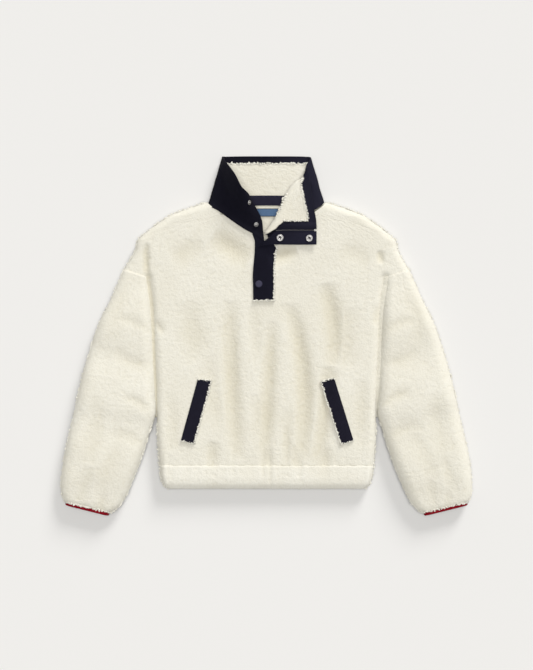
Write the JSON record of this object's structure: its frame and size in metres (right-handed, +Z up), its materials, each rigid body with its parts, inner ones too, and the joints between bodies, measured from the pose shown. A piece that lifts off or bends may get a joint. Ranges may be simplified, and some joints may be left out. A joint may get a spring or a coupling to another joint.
{
  "type": "sherpa pullover jacket",
  "caption": "Cream sherpa pullover jacket lying flat, with an open navy stand collar, snap flap over a half zip, slanted welt pockets, gathered hem band and red bound cuffs.",
  "frame": {"origin": "bottom centre of the jacket's bounding box, on the surface it lies on", "axes": "+Z up from the surface; +Y towards the collar; +X to the right of someone looking down at the front, collar away from them"},
  "size_m": [0.86, 0.7521, 0.0642],
  "materials": {
    "sherpa": "curly cream sherpa pile",
    "navy": "fine navy twill, matte",
    "red": "red knit binding",
    "blue": "plain woven label",
    "metal": "plain nickel",
    "navy_metal": "navy enamel"
  },
  "bodies": {
    "root": {"front_panel": "sherpa", "back_panel": "sherpa", "sleeve_left": "sherpa", "sleeve_right": "sherpa", "hem_band_front": "sherpa", "hem_band_back": "sherpa", "collar_lining": "sherpa", "collar_outer": "navy", "collar_facing": "navy", "zip_facing": "navy", "flap_lower": "navy", "flap_turned": "navy", "neck_tape": "navy", "welt_left": "navy", "welt_right": "navy", "cuff_binding_left": "red", "cuff_binding_right": "red", "label": "blue", "zip_chain": "metal", "zip_top_stop": "metal", "snap_socket_1": "metal", "snap_socket_2": "metal", "snap_stud_1": "metal", "snap_stud_2": "metal", "snap_cap": "navy_metal"}
  },
  "joints": []
}
